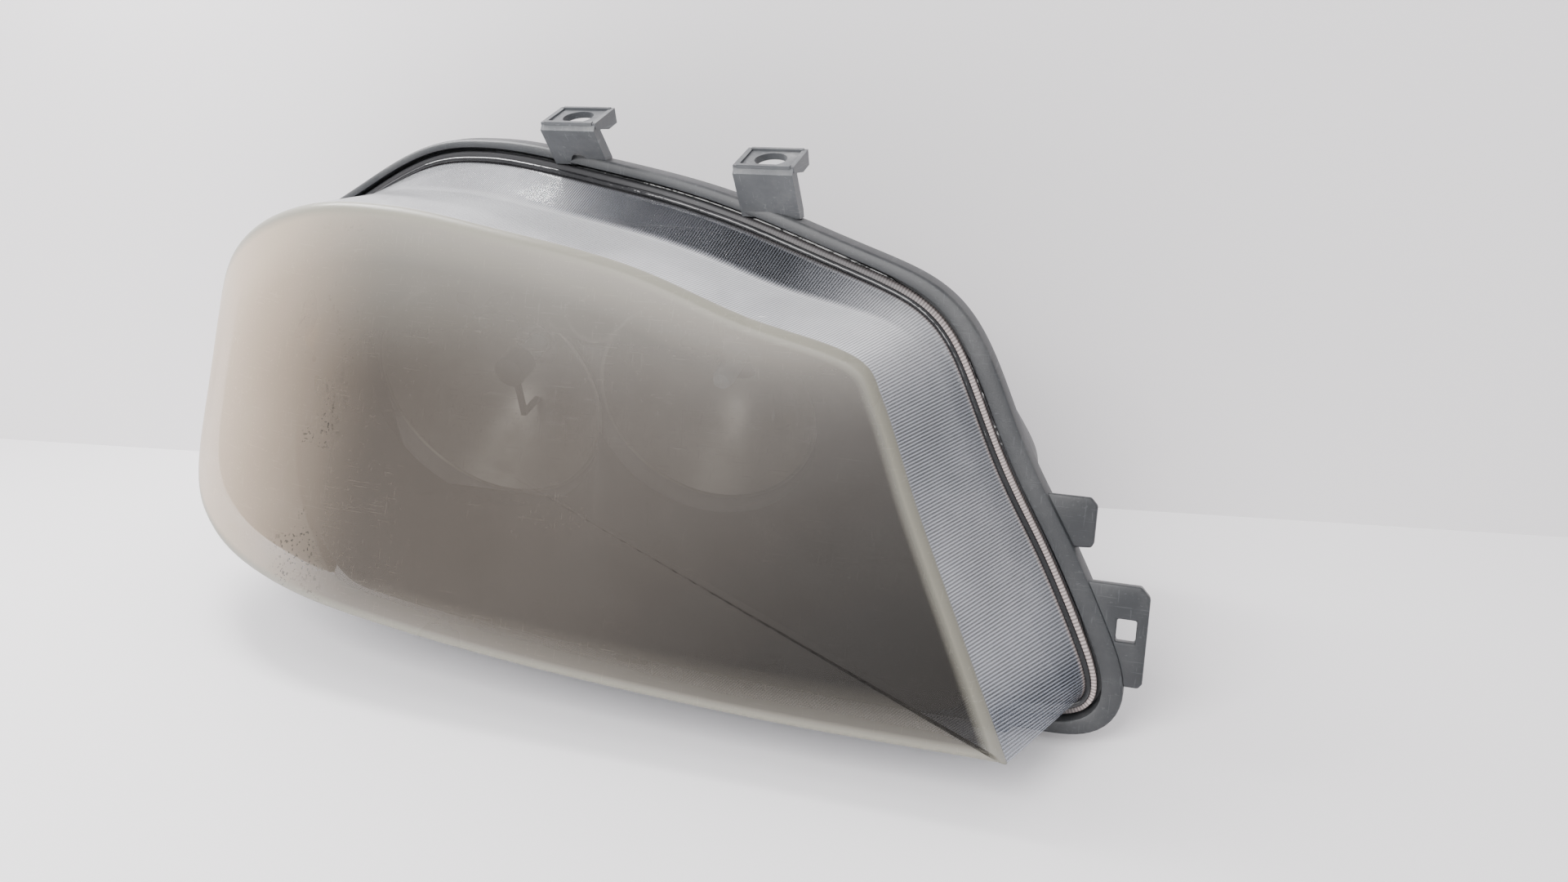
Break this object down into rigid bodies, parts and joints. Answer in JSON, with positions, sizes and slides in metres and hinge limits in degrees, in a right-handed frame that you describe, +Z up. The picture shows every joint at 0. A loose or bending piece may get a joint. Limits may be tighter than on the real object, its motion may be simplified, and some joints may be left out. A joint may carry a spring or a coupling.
{
  "type": "car headlight",
  "caption": "Left-hand car headlamp with a hazed clear lens, twin aiming reflectors, turn signal, rear bulb covers, levelling motor and fixing tabs.",
  "frame": {"origin": "middle of the lamp's footprint, on the surface it stands on", "axes": "+X towards the car's middle, -Y the way the lamp shines, +Z up"},
  "size_m": [0.5138, 0.2712, 0.2508],
  "materials": {
    "hazed_lens": "hazed and scratched clear plastic",
    "black_sealant": "glossy black bead",
    "grey_housing": "dusty dark grey moulding",
    "dark_bezel": "satin",
    "reflector_mirror": "aluminised, slightly dulled",
    "carrier_plastic": "matt",
    "bulb_glass": "clear",
    "amber_glass": "amber",
    "zinc_steel": "zinc plated",
    "black_metal": "matt black",
    "black_plastic": "satin",
    "grey_plastic": "satin",
    "white_plastic": "satin",
    "black_rubber": "matt"
  },
  "bodies": {
    "lamp": {"housing": "grey_housing", "outer_fixing_tab": "grey_housing", "inner_fixing_tab": "grey_housing", "lower_fixing_lug": "grey_housing", "lens": "hazed_lens", "lens_seal": "black_sealant", "bezel": "dark_bezel", "turn_signal_reflector": "reflector_mirror", "pivot_stud": "zinc_steel", "levelling_motor": "black_plastic", "connector_socket": "black_plastic", "vent_cap_1": "black_rubber", "vent_cap_2": "black_rubber", "low_beam_cover_gasket": "black_rubber", "high_beam_cover_gasket": "black_rubber"},
    "pivot": {"pivot_ball": "white_plastic"},
    "reflector": {"reflector_carrier": "carrier_plastic", "low_beam_reflector": "reflector_mirror", "high_beam_reflector": "reflector_mirror", "low_beam_bulb_glass": "bulb_glass", "low_beam_bulb_base": "zinc_steel", "low_beam_bulb_seat": "zinc_steel", "low_beam_bulb_plug": "grey_plastic", "low_beam_lead": "black_plastic", "low_beam_glare_shield": "black_metal", "high_beam_bulb_glass": "bulb_glass", "high_beam_bulb_base": "zinc_steel", "high_beam_bulb_seat": "zinc_steel", "high_beam_bulb_plug": "grey_plastic", "high_beam_lead": "black_plastic", "position_lamp_reflector": "reflector_mirror", "position_bulb": "bulb_glass", "position_bulb_holder": "black_rubber"},
    "push_rod": {"levelling_push_rod": "white_plastic"},
    "height_adjuster": {"height_adjuster_knob": "grey_plastic"},
    "side_adjuster": {"side_adjuster_screw": "zinc_steel", "side_adjuster_knob": "grey_plastic"},
    "low_clip": {"low_beam_bulb_clip": "zinc_steel"},
    "high_clip": {"high_beam_bulb_clip": "zinc_steel"},
    "low_cover": {"low_beam_cover": "black_plastic"},
    "high_cover": {"high_beam_cover": "black_plastic"},
    "turn_holder": {"turn_signal_bulb": "amber_glass", "turn_signal_bulb_holder": "grey_plastic"}
  },
  "joints": [
    {"name": "aim_yaw", "type": "hinge", "parent": "lamp", "child": "pivot", "pos_m": [-0.0011, -0.0113, 0.124], "axis": [0, -0.2588, 0.9659], "range_deg": [-2, 2]},
    {"name": "aim_pitch", "type": "hinge", "parent": "pivot", "child": "reflector", "pos_m": [-0.0011, -0.0113, 0.124], "axis": [1, 0, 0], "range_deg": [-3, 3]},
    {"name": "push_rod_slide", "type": "slide", "parent": "lamp", "child": "push_rod", "axis": [0, 0.9659, 0.2588], "range_m": [-0.0034, 0.0034]},
    {"name": "height_adjuster_spin", "type": "hinge", "parent": "lamp", "child": "height_adjuster", "pos_m": [-0.0151, 0.11976, 0.09079], "axis": [0, -0.9659, -0.2588], "range_deg": [-400, 400]},
    {"name": "side_adjuster_spin", "type": "hinge", "parent": "lamp", "child": "side_adjuster", "pos_m": [0.1189, 0.06597, 0.14471], "axis": [0, -0.9659, -0.2588], "range_deg": [-510, 510]},
    {"name": "low_clip_hinge", "type": "hinge", "parent": "reflector", "child": "low_clip", "pos_m": [-0.0611, 0.01869, 0.14963], "axis": [1, 0, 0], "range_deg": [0, 60]},
    {"name": "high_clip_hinge", "type": "hinge", "parent": "reflector", "child": "high_clip", "pos_m": [0.0539, 0.01134, 0.15388], "axis": [1, 0, 0], "range_deg": [0, 60]},
    {"name": "low_cover_twist", "type": "hinge", "parent": "lamp", "child": "low_cover", "pos_m": [-0.0611, 0.06984, 0.14574], "axis": [0, -0.9659, -0.2588], "range_deg": [0, 30]},
    {"name": "high_cover_twist", "type": "hinge", "parent": "lamp", "child": "high_cover", "pos_m": [0.0539, 0.06828, 0.15154], "axis": [0, -0.9659, -0.2588], "range_deg": [0, 30]},
    {"name": "turn_holder_twist", "type": "hinge", "parent": "lamp", "child": "turn_holder", "pos_m": [-0.1871, 0.06984, 0.14574], "axis": [0, -0.9659, -0.2588], "range_deg": [0, 30]}
  ],
  "couplings": [
    {"joint": "push_rod_slide", "follows": "aim_pitch", "m_per_rad": 0.062},
    {"joint": "height_adjuster_spin", "follows": "aim_pitch", "ratio": 129.85},
    {"joint": "side_adjuster_spin", "follows": "aim_yaw", "ratio": 251.33}
  ]
}
